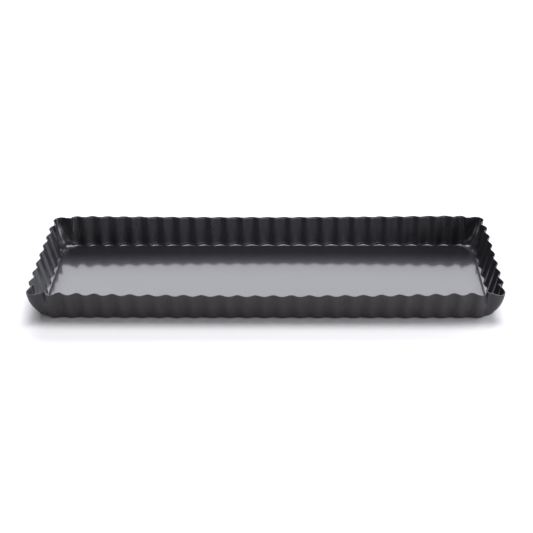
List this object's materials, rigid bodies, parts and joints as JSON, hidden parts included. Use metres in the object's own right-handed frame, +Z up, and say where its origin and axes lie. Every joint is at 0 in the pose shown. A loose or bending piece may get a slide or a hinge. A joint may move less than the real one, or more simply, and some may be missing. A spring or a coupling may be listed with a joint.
{
  "type": "loose-bottom tart pan",
  "caption": "Long rectangular tart pan in dark coated steel, with leaning fluted walls and a flat loose base that lifts out of the ledge at its foot.",
  "frame": {"origin": "on the surface the pan stands on, under the middle of the pan", "axes": "+X along the pan's length, +Y across it, +Z up out of the open top"},
  "size_m": [0.35, 0.117, 0.0254],
  "materials": {
    "rim_coating": "dark charcoal non-stick coating on pressed steel sheet, satin with a fine grain",
    "base_coating": "dark charcoal non-stick coating on flat steel sheet, smoother satin that mirrors its surroundings softly"
  },
  "bodies": {
    "rim": {"fluted_rim": "rim_coating"},
    "base": {"loose_base": "base_coating"}
  },
  "joints": [
    {"name": "base_lift", "type": "slide", "parent": "rim", "child": "base", "axis": [0, 0, 1], "range_m": [0, 0.04]}
  ]
}
